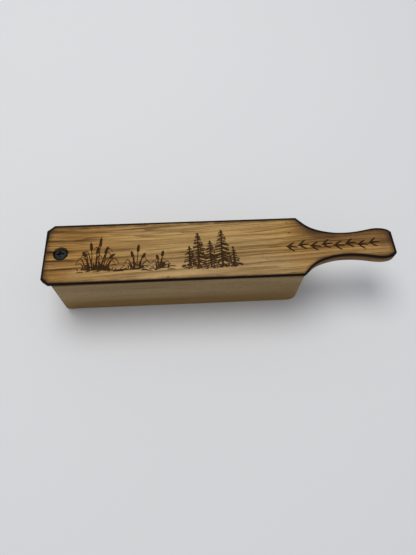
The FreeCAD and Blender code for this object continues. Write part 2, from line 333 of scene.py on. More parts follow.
# ---------------------------------------------------------------- grain of the lid
# Long streaks, as (x, y) points along each, its half width and its darkness.
STREAKS = [
    ([(-5, 9.0), (12, 9.0), (30, 9.8), (60, 10.6), (110, 12.0), (150, 13.2)], 0.75, 0.90, (-14, 34)),
    ([(-5, 9.5), (4, 9.2), (14, 9.1), (26, 9.6)], 0.75, 1.5, (-14, 26)),
    ([(-5, 1.2), (4, 1.4), (10, 1.4), (22, 1.9)], 1.15, 1.6, (-14, 24)),
    ([(-5, -5.4), (4, -5.5), (14, -5.3), (26, -4.8)], 0.65, 1.5, (-14, 26)),
    ([(-5, -11.7), (6, -11.3), (18, -10.8), (30, -10.2)], 0.75, 1.5, (-14, 26)),
    ([(-5, 16.2), (12, 15.9), (30, 15.8)], 0.5, 1.2, (-10, 30)),
    ([(-5, 15.2), (20, 15.2), (50, 15.6), (64, 17.0), (90, 18.3), (135, 19.2), (165, 19.9)], 0.65, 0.55, (-10, 140)),
    ([(-5, 1.2), (8, 1.4), (30, 2.2), (52, 1.6), (75, 4.0), (110, 5.6), (150, 8.0), (176, 9.8)], 0.9, 0.75, (-14, 60)),
    ([(-5, -5.6), (12, -5.3), (40, -4.2), (62, -3.2), (85, -1.8), (115, 0.2), (145, 1.2), (170, 4.0), (190, 6.0), (225, 6.6)], 0.8, 0.8, (-14, 225)),
    ([(-5, -11.6), (14, -11.0), (38, -9.8), (70, -7.2), (95, -5.4), (118, -4.0), (146, -3.2), (180, -1.6), (225, 2.2)], 0.75, 0.75, (-14, 225)),
    ([(10, -19.3), (34, -18.0), (48, -16.9), (60, -15.8), (76, -14.6), (100, -13.6), (130, -11.8), (160, -10.0), (190, -8.4), (225, -7.2)], 0.55, 0.50, (12, 200)),
    ([(60, -20.5), (100, -19.6), (130, -18.2), (160, -16.8)], 0.7, 0.38, (60, 165)),
    ([(-5, 19.2), (20, 18.8), (45, 18.6), (80, 20.0)], 0.8, 0.45, (0, 80)),
    ([(40, 6.4), (70, 7.2), (110, 8.8), (160, 9.3), (180, 9.0)], 0.6, 0.35, (40, 180)),
    ([(155, 1.6), (176, 2.4), (196, 2.9), (225, 2.8)], 0.8, 0.95, (160, 225)),
    ([(150, 4.2), (176, 5.6), (200, 6.1), (225, 6.2)], 0.55, 0.95, (150, 225)),
    ([(120, -8.6), (150, -7.4), (185, -5.8), (225, -4.4)], 0.5, 0.28, (110, 225)),
    ([(-5, 12.2), (20, 12.3), (55, 13.0), (95, 14.6)], 0.5, 0.4, (0, 100)),
    ([(-5, -8.6), (16, -8.3), (40, -7.0)], 0.5, 0.4, (0, 40)),
    ([(-5, -14.8), (20, -14.4), (60, -12.6)], 0.5, 0.3, (0, 60)),
    ([(110, 3.0), (140, 4.6), (165, 7.0)], 0.5, 0.4, (100, 170)),
    ([(100, -16.4), (140, -14.6), (162, -13.4)], 0.5, 0.28, (95, 165)),
]


def streak_field(x, y, seed=40):
    """0 to 1, the dark of the long streaks at each point."""
    out = np.zeros_like(x)
    wig = value_noise(x / 26, y / 6, seed, 2) * 0.5 + value_noise(x / 7, y / 2.2, seed + 1, 2) * 0.14
    for k, (pts, w, dark, (xa, xb)) in enumerate(STREAKS):
        p = np.array(pts, float)
        yc = np.interp(x, p[:, 0], p[:, 1])
        d = y + wig - yc
        vary = 0.55 + 0.45 * value_noise(x / 19 + k * 7.3, x * 0 + k * 3.1, seed + 2 + k, 3)
        w_here = w * (0.7 + 0.55 * value_noise(x / 12 + k * 2.7, x * 0 + k, seed + 50 + k, 2))
        # sharp on one side and soft on the other, like a growth ring, but never sharper than the mesh can hold
        least = np.where(np.abs(y) > 14.0, 0.80, 0.42)
        prof = np.where(d > 0, np.exp(-(d / np.maximum(w_here * 0.55, least)) ** 2),
                        np.exp(-(np.abs(d) / np.maximum(w_here * 1.7, least * 1.2)) ** 1.6))
        ends = smooth(xa - 4, xa + 8, x) * (1 - smooth(xb - 12, xb + 2, x))
        out = np.maximum(out, dark * prof * np.clip(vary * 1.25, 0.15, 1) * ends)
    return np.clip(out * 0.86, 0, 1)


# ---------------------------------------------------------------- the lid's mesh
def lid_outline():
    """The lid's edge, anticlockwise seen from above, in lid coordinates, and the far half it is mirrored from."""
    upper = [(0.0, HALF - CLIP_Y), (CLIP_X, HALF)]
    curve = spline(HANDLE, 0.45)
    half = np.array(upper + [tuple(p) for p in curve])
    low = half[:: 1] * [1, -1]
    loop = np.concatenate([low, half[::-1]])      # along the near side to the tip, back along the far side
    return loop, half


def offset(loop, d):
    """The loop moved outwards by d, mitred."""
    prev, nxt = np.roll(loop, 1, axis=0), np.roll(loop, -1, axis=0)
    e0, e1 = loop - prev, nxt - loop
    e0 /= np.linalg.norm(e0, axis=1)[:, None]
    e1 /= np.linalg.norm(e1, axis=1)[:, None]
    n0, n1 = np.stack([e0[:, 1], -e0[:, 0]], 1), np.stack([e1[:, 1], -e1[:, 0]], 1)
    m = n0 + n1
    m /= (1 + np.sum(n0 * n1, axis=1))[:, None]
    return loop + m * (d[:, None] if isinstance(d, np.ndarray) else d)


loop, half = lid_outline()
inset = offset(loop, -CHAMFER)
n_half = len(half)
inset_upper = inset[n_half:][::-1]
TOL = 1e-6
corner_x = [inset_upper[0, 0], inset_upper[1, 0], inset_upper[2, 0], inset_upper[-1, 0]]


def w_in(x):
    return np.interp(x, inset_upper[:, 0], inset_upper[:, 1])


def steps(a, b, h):
    return list(np.linspace(a, b, max(1, int(round((b - a) / h))) + 1)[:-1])


cols = (steps(corner_x[0], corner_x[1], 0.6) + steps(corner_x[1], 18, 0.6) + steps(18, 82, 0.29) + steps(82, 122.5, 0.28)
        + steps(122.5, 149, 0.9) + steps(149, corner_x[2], 0.33) + steps(corner_x[2], 211.5, 0.33)
        + steps(211.5, corner_x[3], 0.6) + [corner_x[3]])
cols = np.array(cols)
rows = np.array(steps(-1, -0.70, 0.036) + steps(-0.70, 0.70, 0.0135) + steps(0.70, 1, 0.036) + [1.0])
GX, GV = np.meshgrid(cols, rows, indexing="ij")
GY = GV * w_in(GX)
nc, nr = len(cols), len(rows)


def edge_distance(x, y):
    """Distance in from the outline."""
    best = np.full(x.shape, 1e9)
    a = loop
    b = np.roll(loop, -1, axis=0)
    for (ax, ay), (bx, by) in zip(a, b):
        dx, dy = bx - ax, by - ay
        t = np.clip(((x - ax) * dx + (y - ay) * dy) / (dx * dx + dy * dy + 1e-12), 0, 1)
        best = np.minimum(best, np.hypot(x - ax - t * dx, y - ay - t * dy))
    return best


def build_lid():
    verts, faces, mats = [], [], []
    attr = {"burn": [], "edge": [], "streak": [], "top": []}

    def add(xs, ys, zs, burn=0.0, top=0.0, edge=None):
        xs, ys, zs = (np.atleast_1d(np.asarray(v, float)) for v in (xs, ys, zs))
        start = len(verts)
        for vx, vy, vz in zip(xs, ys, zs):
            verts.append((vx + X0, vy, vz))
        attr["burn"].extend(np.broadcast_to(burn, xs.shape))
        attr["top"].extend(np.broadcast_to(top, xs.shape))
        attr["edge"].extend(edge if edge is not None else edge_distance(xs, ys))
        attr["streak"].extend(streak_field(xs, ys + (zs - TOP) * 0.12))
        return np.arange(start, start + len(xs))

    # top face, with the picture cut into it
    fx, fy = GX.ravel(), GY.ravel()
    burn = art.field(fx, fy)
    grain = value_noise(fx / 3.1, fy / 0.45, 77, 3)
    mottled = burn
    depth = 0.24 * smooth(0.34, 0.80, burn) * (0.88 + 0.12 * grain) + 0.010 * (grain + 1) * smooth(0.5, 2.0, edge_distance(fx, fy))
    top = add(fx, fy, TOP - depth, burn=mottled, top=1.0).reshape(nc, nr)
    cx = (GX[:-1, :-1] + GX[1:, 1:]) / 2 + X0 - PIVOT[0]
    cy = (GY[:-1, :-1] + GY[1:, 1:]) / 2 - PIVOT[1]
    keep = np.hypot(cx, cy) > BORE_R + 0.55
    for i in range(nc - 1):
        for j in range(nr - 1):
            if keep[i, j]:
                faces.append((top[i, j], top[i + 1, j], top[i + 1, j + 1], top[i, j + 1]))
    # the ring from that jagged gap to the bore's rim
    gap = hole_loop(top, keep)
    N = 96
    th = np.arange(N) * 2 * math.pi / N
    px, py = PIVOT[0] - X0, PIVOT[1]

    def circle(r, z, burn, wob=0.0):
        rad = r + wob * value_noise(np.cos(th) * 2 + 5, np.sin(th) * 2 + 5, 9, 2)
        return add(px + rad * np.cos(th), py + rad * np.sin(th), np.broadcast_to(z, th.shape), burn=burn, top=0.5)

    rims = [circle(BORE_R + 0.16, TOP - 0.01, 0.30), circle(BORE_R + 0.04, TOP - 0.12, 0.42), circle(BORE_R, TOP - 0.4, 0.36)]
    for k, z in enumerate(np.linspace(TOP - 0.9, BORE_FLOOR + 0.3, 9)):
        rims.append(circle(BORE_R, z, 0.30, 0.03 if k % 2 else 0.0))
    rims += [circle(BORE_R - 0.12, BORE_FLOOR, 0.5), circle(3.6, BORE_FLOOR - 0.0, 0.3), circle(HOLE_R + 0.15, BORE_FLOOR, 0.4),
             circle(HOLE_R, BORE_FLOOR - 0.12, 0.4)]
    ga = np.array([math.atan2(verts[i][1] - PIVOT[1], verts[i][0] - PIVOT[0]) for i in gap]) % (2 * math.pi)
    order = np.argsort(ga)
    gap, ga = [gap[i] for i in order], ga[order]
    a = gap + [gap[0]]
    b = list(rims[0]) + [rims[0][0]]
    for f in zipper(a, b, list(ga) + [2 * math.pi + ga[0]], list(th) + [2 * math.pi]):
        faces.append(f[::-1])
    for r0, r1 in zip(rims, rims[1:]):
        for k in range(N):
            m = (k + 1) % N
            faces.append((r0[m], r1[m], r1[k], r0[k]))

    # boundary of the top grid, anticlockwise
    ring = list(top[:, 0]) + list(top[-1, 1:]) + list(top[-2::-1, -1]) + list(top[0, -2:0:-1])
    base = np.array([[verts[i][0] - X0, verts[i][1]] for i in ring])
    count = len(ring)
    rough = value_noise(base[:, 0] / 2.3, base[:, 1] / 2.3, 91, 3)
    handle = smooth(160, 166, base[:, 0])
    outer = offset(base, CHAMFER)
    # the side's foot: the lid's thin edge on the body, a deep side with an eased foot on the handle
    profile = [  # share of the chamfer passed, z at the rim, burnt
        (0.14, TOP - 0.05, 0.95), (0.45, TOP - 0.28, 1.0), (0.82, TOP - 0.56, 1.0), (1.0, TOP - 0.78, 1.0)]
    rings = [ring]
    for share, z, bn in profile:
        q = offset(base, CHAMFER * share - (0.05 * (rough + 1) * (share > 0.9) + 0.02) * share)
        rings.append(list(add(q[:, 0], q[:, 1], z + 0.03 * rough, burn=bn, top=0.0, edge=np.full(count, 0.0))))
    foot = under_z(np.minimum(np.abs(outer[:, 1]), HALF))
    foot_end = np.where((outer[:, 0] < 1.0) | (outer[:, 0] > 219.0), under_z(outer[:, 1]), foot)
    ease = 0.25 + 0.55 * handle
    for share, bn in ((0.12, 0.72), (0.40, 0.5), (0.75, 0.32), (1.0, 0.25)):
        z0 = TOP - 0.82
        z1 = foot_end + ease
        z = z0 + (z1 - z0) * share
        z = np.minimum(z, z0 - 0.02)
        q = offset(base, CHAMFER - 0.03)
        b_here = np.where(handle > 0.5, bn * (1.0 - 0.75 * smooth(0.02, 0.35, share)), 0.95 - 0.45 * share)
        rings.append(list(add(q[:, 0], q[:, 1], z, burn=b_here, top=0.0, edge=0.6 + share * 3 * handle)))
    for f_in, f_dn in ((0.30, 0.70), (1.0, 1.0)):
        q = base + (outer - base) * (1 - 0.03 - (ease * 0.9 * f_in))[:, None]
        zu = under_z(q[:, 1])
        z = (foot_end + ease) + (zu - foot_end - ease) * f_dn
        z = np.minimum(z, TOP - 0.9)
        rings.append(list(add(q[:, 0], q[:, 1], z, burn=np.where(handle > 0.5, 0.2, 0.55), top=0.0, edge=np.full(count, 3.0))))
    for r0, r1 in zip(rings, rings[1:]):
        for k in range(count):
            m = (k + 1) % count
            faces.append((r0[m], r0[k], r1[k], r1[m]))

    # underside: a coarser grid, joined to the last ring along its four sides
    last = rings[-1]
    n_bot, n_tip = nc, nr
    corners = [0, nc - 1, nc - 1 + nr - 1, 2 * (nc - 1) + nr - 1]
    chains = [last[corners[k]:(corners[k + 1] if k < 3 else count) + 1] for k in range(4)]
    chains[3] = last[corners[3]:] + [last[0]]
    bx = np.array(steps(corner_x[0] + 0.7, 24, 0.8) + steps(24, 159, 2.2) + steps(159, corner_x[3] - 0.7, 1.2) + [corner_x[3] - 0.7])
    bv = np.linspace(-1, 1, 45)
    BX, BV = np.meshgrid(bx, bv, indexing="ij")
    BY = BV * (w_in(BX) - 0.75)
    bot = add(BX.ravel(), BY.ravel(), under_z(BY.ravel()), burn=0.0, top=0.0).reshape(BX.shape)
    ccx = (BX[:-1, :-1] + BX[1:, 1:]) / 2 + X0 - PIVOT[0]
    ccy = (BY[:-1, :-1] + BY[1:, 1:]) / 2 - PIVOT[1]
    bkeep = np.hypot(ccx, ccy) > HOLE_R + 0.9
    for i in range(len(bx) - 1):
        for j in range(len(bv) - 1):
            if bkeep[i, j]:
                faces.append((bot[i, j], bot[i, j + 1], bot[i + 1, j + 1], bot[i + 1, j]))
    gap = hole_loop(bot, bkeep)
    low = add(px + HOLE_R * np.cos(th), py + HOLE_R * np.sin(th), under_z(HOLE_R * np.sin(th)) + 0.0, burn=0.15)
    ga = np.array([math.atan2(verts[i][1] - PIVOT[1], verts[i][0] - PIVOT[0]) for i in gap]) % (2 * math.pi)
    order = np.argsort(ga)
    gap, ga = [gap[i] for i in order], ga[order]
    for f in zipper(gap + [gap[0]], list(low) + [low[0]], list(ga) + [2 * math.pi + ga[0]], list(th) + [2 * math.pi]):
        faces.append(f)
    r0 = rims[-1]
    for k in range(N):
        m = (k + 1) % N
        faces.append((r0[m], low[m], low[k], r0[k]))
    inner = [list(bot[:, 0]), list(bot[-1, :]), list(bot[::-1, -1]), list(bot[0, ::-1])]
    for chain, own in zip(chains, inner):
        def share(ids):
            p = np.array([verts[i][:2] for i in ids])
            s = np.concatenate([[0], np.cumsum(np.linalg.norm(np.diff(p, axis=0), axis=1))])
            return s / s[-1]
        for f in zipper(chain, own, share(chain), share(own)):
            faces.append(f)
    return np.array(verts), faces, attr


def hole_loop(grid, keep):
    """The vertices round the gap left in a grid of quads."""
    ids = set()
    gi, gj = np.nonzero(~keep)
    for i, j in zip(gi, gj):
        for a, b in ((i, j), (i + 1, j), (i + 1, j + 1), (i, j + 1)):
            around = [(p, q) for p in (a - 1, a) for q in (b - 1, b) if 0 <= p < keep.shape[0] and 0 <= q < keep.shape[1]]
            if any(keep[p, q] for p, q in around):
                ids.add(int(grid[a, b]))
    return list(ids)


# ---------------------------------------------------------------- node helpers
class Nodes:
    def __init__(self, name):
        self.mat = bpy.data.materials.new(name)
        self.mat.use_nodes = True
        self.nt = self.mat.node_tree
        self.nt.nodes.clear()
        self.out = self.nt.nodes.new("ShaderNodeOutputMaterial")
        self.bsdf = self.nt.nodes.new("ShaderNodeBsdfPrincipled")
        self.nt.links.new(self.bsdf.outputs[0], self.out.inputs[0])

    def new(self, kind, **values):
        n = self.nt.nodes.new(kind)
        for k, v in values.items():
            setattr(n, k, v)
        return n

    def put(self, socket, v):
        if isinstance(v, bpy.types.NodeSocket):
            self.nt.links.new(v, socket)
        elif v is not None:
            socket.default_value = v

    def math(self, op, a, b=None, c=None, clamp=False):
        n = self.new("ShaderNodeMath", operation=op, use_clamp=clamp)
        self.put(n.inputs[0], a)
        self.put(n.inputs[1], b)
        self.put(n.inputs[2], c)
        return n.outputs[0]

    def position(self):
        if not hasattr(self, "_pos"):
            t = self.new("ShaderNodeTexCoord")
            s = self.new("ShaderNodeVectorMath", operation="SCALE")
            self.put(s.inputs[0], t.outputs["Object"])
            s.inputs["Scale"].default_value = 1000.0
            self._pos = s.outputs[0]
        return self._pos

    def xyz(self):
        if not hasattr(self, "_xyz"):
            n = self.new("ShaderNodeSeparateXYZ")
            self.put(n.inputs[0], self.position())
            self._xyz = n.outputs
        return self._xyz

    def vec(self, x, y, z):
        n = self.new("ShaderNodeCombineXYZ")
        for s, v in zip(n.inputs, (x, y, z)):
            self.put(s, v)
        return n.outputs[0]

    def scaled(self, v, s, add=(0, 0, 0)):
        n = self.new("ShaderNodeVectorMath", operation="MULTIPLY_ADD")
        self.put(n.inputs[0], v)
        n.inputs[1].default_value = s
        n.inputs[2].default_value = add
        return n.outputs[0]

    def noise(self, v, scale=1.0, detail=4.0, rough=0.55, distortion=0.0):
        n = self.new("ShaderNodeTexNoise")
        self.put(n.inputs["Vector"], v)
        n.inputs["Scale"].default_value = scale
        n.inputs["Detail"].default_value = detail
        n.inputs["Roughness"].default_value = rough
        n.inputs["Distortion"].default_value = distortion
        return n.outputs[0]

    def ramp(self, v, stops, interpolation="LINEAR"):
        n = self.new("ShaderNodeValToRGB")
        n.color_ramp.interpolation = interpolation
        e = n.color_ramp.elements
        e[0].position, e[1].position = stops[0][0], stops[-1][0]
        for pos, _ in stops[1:-1]:
            e.new(pos)
        for k, (_, c) in enumerate(stops):
            e[k].color = (*c, 1) if len(c) == 3 else c
        self.put(n.inputs[0], v)
        return n.outputs[0]

    def span(self, v, a, b, c=0.0, d=1.0, kind="SMOOTHSTEP"):
        n = self.new("ShaderNodeMapRange", interpolation_type=kind)
        self.put(n.inputs[0], v)
        for s, q in zip(n.inputs[1:5], (a, b, c, d)):
            self.put(s, q)
        return n.outputs[0]

    def mix(self, f, a, b, blend="MIX"):
        n = self.new("ShaderNodeMix", data_type="RGBA", blend_type=blend)
        self.put(n.inputs[0], f)
        for s, v in ((n.inputs[6], a), (n.inputs[7], b)):
            self.put(s, (*v, 1) if isinstance(v, tuple) and len(v) == 3 else v)
        return n.outputs[2]

    def attribute(self, name):
        n = self.new("ShaderNodeAttribute", attribute_name=name)
        return n.outputs["Fac"]

    def bump(self, h, distance, strength=1.0, normal=None):
        n = self.new("ShaderNodeBump")
        n.inputs["Strength"].default_value = strength
        n.inputs["Distance"].default_value = distance
        self.put(n.inputs["Height"], h)
        self.put(n.inputs["Normal"], normal)
        return n.outputs[0]


def lid_wood():
    m = Nodes("lid_wood")
    x, y, z = m.xyz()
    burn, edge, streak = m.attribute("burn"), m.attribute("edge"), m.attribute("streak")
    # grain runs a few degrees off the lid's length and wanders a little
    lx = m.math("ADD", x, 109.8)
    drift = m.math("MULTIPLY", lx, -0.045)
    wander = m.noise(m.scaled(m.position(), (0.018, 0.05, 0.05)), 1.0, 2.0)
    ripple = m.noise(m.scaled(m.position(), (0.09, 0.22, 0.2), (2, 5, 1)), 1.0, 2.0)
    yy = m.math("ADD", m.math("ADD", y, drift), m.math("MULTIPLY", wander, 3.0))
    yy = m.math("ADD", yy, m.math("MULTIPLY", ripple, 0.34))
    g = m.vec(lx, yy, m.math("MULTIPLY", z, 0.35))
    broad = m.noise(m.scaled(g, (0.006, 0.16, 0.16)), 1.0, 3.0, 0.5)
    bands = m.noise(m.scaled(g, (0.0046, 0.55, 0.5), (4, 1, 2)), 1.0, 3.0, 0.62)
    lines_ = m.noise(m.scaled(g, (0.0070, 1.15, 1.1), (6, 3, 2)), 1.0, 3.0, 0.6)
    fine = m.noise(m.scaled(g, (0.030, 2.6, 2.4), (1, 7, 3)), 1.0, 5.0, 0.62)
    fibre = m.noise(m.scaled(g, (0.16, 11.0, 8.0), (3, 2, 5)), 1.0, 4.0, 0.6)
    pores = m.noise(m.scaled(g, (0.35, 8.0, 6.0), (9, 4, 1)), 1.0, 2.0, 0.5)
    pore = m.span(pores, 0.60, 0.72)
    fleck = m.span(m.noise(m.scaled(g, (0.11, 3.4, 3.0), (7, 9, 4)), 1.0, 2.0, 0.5), 0.63, 0.72)
    warm = m.ramp(broad, [(0.32, (0.360, 0.170, 0.037)), (0.50, (0.475, 0.249, 0.059)), (0.68, (0.560, 0.320, 0.087))])
    pale = m.ramp(broad, [(0.32, (0.448, 0.257, 0.079)), (0.50, (0.530, 0.327, 0.117)), (0.68, (0.592, 0.387, 0.156))])
    # redder towards both ends, paler in the middle
    mid = m.math("MULTIPLY", m.span(lx, 14.0, 78.0), m.span(lx, 168.0, 128.0))
    tone = m.mix(mid, warm, pale)
    # a greyer, pinker board edge along the near middle
    near = m.math("MULTIPLY", m.span(m.math("ADD", yy, m.math("MULTIPLY", m.span(lx, 40.0, 120.0), 5.0)), -1.0, -14.0), m.span(lx, 44.0, 74.0))
    near = m.math("MULTIPLY", near, m.span(lx, 165.0, 140.0))
    tone = m.mix(m.math("MULTIPLY", near, 0.65), tone, (0.500, 0.337, 0.180))
    tone = m.mix(m.math("MULTIPLY", near, m.span(lx, 110.0, 126.0, 0.0, 0.60)), tone, (0.370, 0.240, 0.130))
    # lighter along the near side, browner on the handle's far half and tip
    tone = m.mix(m.math("MULTIPLY", m.span(y, -7.0, -14.0), m.span(lx, 10.0, 22.0, 0.0, 0.55)), tone, (0.620, 0.405, 0.160))
    tone = m.mix(m.math("MULTIPLY", m.math("MULTIPLY", m.span(y, 4.0, 11.0), m.span(lx, 30.0, 60.0, 0.0, 0.70)), m.span(lx, 135.0, 105.0, 0.30, 1.0)), tone, (0.640, 0.410, 0.155))
    tone = m.mix(m.math("MULTIPLY", m.span(lx, 158.0, 178.0, 0.0, 0.75), m.span(y, -3.4, 1.0)), tone, (0.262, 0.136, 0.048))
    tone = m.mix(m.math("MULTIPLY", m.span(lx, 206.0, 213.0, 0.0, 0.80), m.span(y, -10.0, -3.0)), tone, (0.225, 0.114, 0.040))
    tone = m.mix(m.math("MULTIPLY", m.math("MULTIPLY", m.span(lx, 150.0, 166.0), m.span(lx, 182.0, 170.0)), m.span(y, 2.0, 8.0, 0.0, 0.85)), tone, (0.175, 0.082, 0.028))
    tone = m.mix(m.math("MULTIPLY", m.span(lx, 150.0, 170.0, 0.0, 0.65), m.span(y, -2.0, -4.0)), tone, (0.450, 0.262, 0.098))
    brown = (0.066, 0.027, 0.007)
    c = m.mix(m.span(bands, 0.52, 0.64, 0.0, 0.38), tone, (0.155, 0.074, 0.020))
    c = m.mix(m.span(lines_, 0.56, 0.63, 0.0, 0.46), c, (0.120, 0.055, 0.015))
    c = m.mix(m.span(lines_, 0.46, 0.32, 0.0, 0.45), c, (0.560, 0.370, 0.140))
    # growth rings: a slow darkening that ends in a sharp line
    ring_n = m.noise(m.scaled(g, (0.0032, 0.155, 0.20), (8, 2, 6)), 1.0, 1.5, 0.45)
    ring = m.math("FRACT", m.math("MULTIPLY", ring_n, 19.0))
    ring = m.math("MULTIPLY", m.span(ring, 0.42, 0.93), m.span(ring, 1.0, 0.955))
    ring = m.math("MULTIPLY", ring, m.span(m.noise(m.scaled(g, (0.02, 0.30, 0.3), (1, 1, 9)), 1.0, 2.0), 0.36, 0.60, 0.15, 0.78))
    c = m.mix(ring, c, (0.115, 0.052, 0.014))
    c = m.mix(m.span(fine, 0.50, 0.72, 0.0, 0.50), c, (0.135, 0.064, 0.018))
    c = m.mix(m.span(fine, 0.48, 0.24, 0.0, 0.30), c, (0.520, 0.350, 0.160))
    # the near strip is quieter than the rest
    c = m.mix(m.math("MULTIPLY", near, 0.42), c, tone)
    ragged = m.math("MULTIPLY", m.math("POWER", streak, 0.62), m.span(fine, 0.20, 0.62, 0.80, 1.30, "LINEAR"), clamp=True)
    c = m.mix(m.math("MULTIPLY", ragged, m.span(lx, 0.0, 26.0, 1.0, 0.84)), c, brown)
    core = m.math("MULTIPLY", m.span(streak, 0.50, 0.92), m.span(lx, 24.0, 8.0, 0.0, 0.85))
    c = m.mix(core, c, (0.026, 0.010, 0.003))
    c = m.mix(m.math("MULTIPLY", fleck, 0.55), c, (0.105, 0.050, 0.016))
    c = m.mix(m.math("MULTIPLY", pore, 0.55), c, (0.100, 0.046, 0.014))
    c = m.mix(m.span(fibre, 0.35, 0.75, 0.0, 0.18), c, (0.15, 0.075, 0.024))
    c = m.mix(m.math("MULTIPLY", m.attribute("knot"), 0.75), c, (0.085, 0.038, 0.013))
    # smoke and char from the burnt edge
    smoke_n = m.noise(m.scaled(m.position(), (0.14, 0.20, 0.2)), 1.0, 3.0, 0.6)
    heat = m.attribute("singe")
    reach = m.math("ADD", 1.3, m.math("MULTIPLY", m.span(smoke_n, 0.35, 0.70), m.span(y, -12.0, 14.0, 0.9, 2.6)))
    reach = m.math("ADD", reach, m.math("MULTIPLY", heat, 8.5))
    smoke = m.math("POWER", m.math("SUBTRACT", 1.0, m.math("DIVIDE", m.math("SUBTRACT", edge, 0.6), reach), clamp=True), 1.15)
    c = m.mix(m.math("MULTIPLY", smoke, 0.94), c, (0.036, 0.014, 0.005))
    # the burnt line breaks up along the grain
    bite = m.math("MULTIPLY", m.math("SUBTRACT", fine, 0.5), 0.9)
    wide = m.math("MAXIMUM", m.span(y, 2.0, 12.0, 0.0, 0.75), m.span(lx, 4.0, 1.2, 0.0, 0.20))
    wide = m.math("MAXIMUM", wide, m.span(lx, 212.0, 218.0, 0.0, 0.6))
    char = m.span(m.math("ADD", m.math("SUBTRACT", edge, m.math("ADD", m.math("MULTIPLY", heat, 0.8), wide)), bite), 1.30, 0.70)
    char = m.math("MULTIPLY", char, m.span(m.attribute("top"), 0.02, 0.20))
    c = m.mix(char, c, (0.014, 0.009, 0.007))
    # a stroke's edge is sharp, and ragged where it crosses the grain
    b = m.span(m.math("ADD", burn, m.math("MULTIPLY", m.math("SUBTRACT", fine, 0.5), 0.35)), 0.40, 0.60)
    b = m.math("MULTIPLY", b, m.span(fine, 0.25, 0.7, 1.0, 0.92, "LINEAR"))
    lines = m.mix(b, c, m.mix(m.span(fibre, 0.3, 0.7), (0.015, 0.006, 0.002), (0.042, 0.017, 0.006)))
    black = m.mix(m.span(fibre, 0.3, 0.75), (0.005, 0.004, 0.004), (0.014, 0.010, 0.008))
    c = m.mix(m.span(m.attribute("top"), 0.20, 0.02, 0.0, 0.55), c, (0.150, 0.096, 0.046))
    rim = m.mix(m.span(burn, 0.60, 0.95), m.mix(m.span(burn, 0.0, 0.6), c, (0.085, 0.034, 0.010)), black)
    final = m.mix(m.span(m.attribute("top"), 0.02, 0.20), rim, lines)
    m.put(m.bsdf.inputs["Base Color"], final)
    dark = m.math("MAXIMUM", b, char)
    r = m.math("ADD", m.span(fine, 0.3, 0.7, 0.50, 0.62, "LINEAR"), m.math("MULTIPLY", dark, 0.30), clamp=True)
    m.put(m.bsdf.inputs["Roughness"], r)
    h = m.math("ADD", m.math("MULTIPLY", fibre, 0.35), m.math("MULTIPLY", pore, -0.9))
    h = m.math("ADD", h, m.math("MULTIPLY", fine, 0.5))
    m.put(m.bsdf.inputs["Normal"], m.bump(h, 0.00006, 0.55))
    m.bsdf.inputs["Specular IOR Level"].default_value = 0.08
    return m.mat


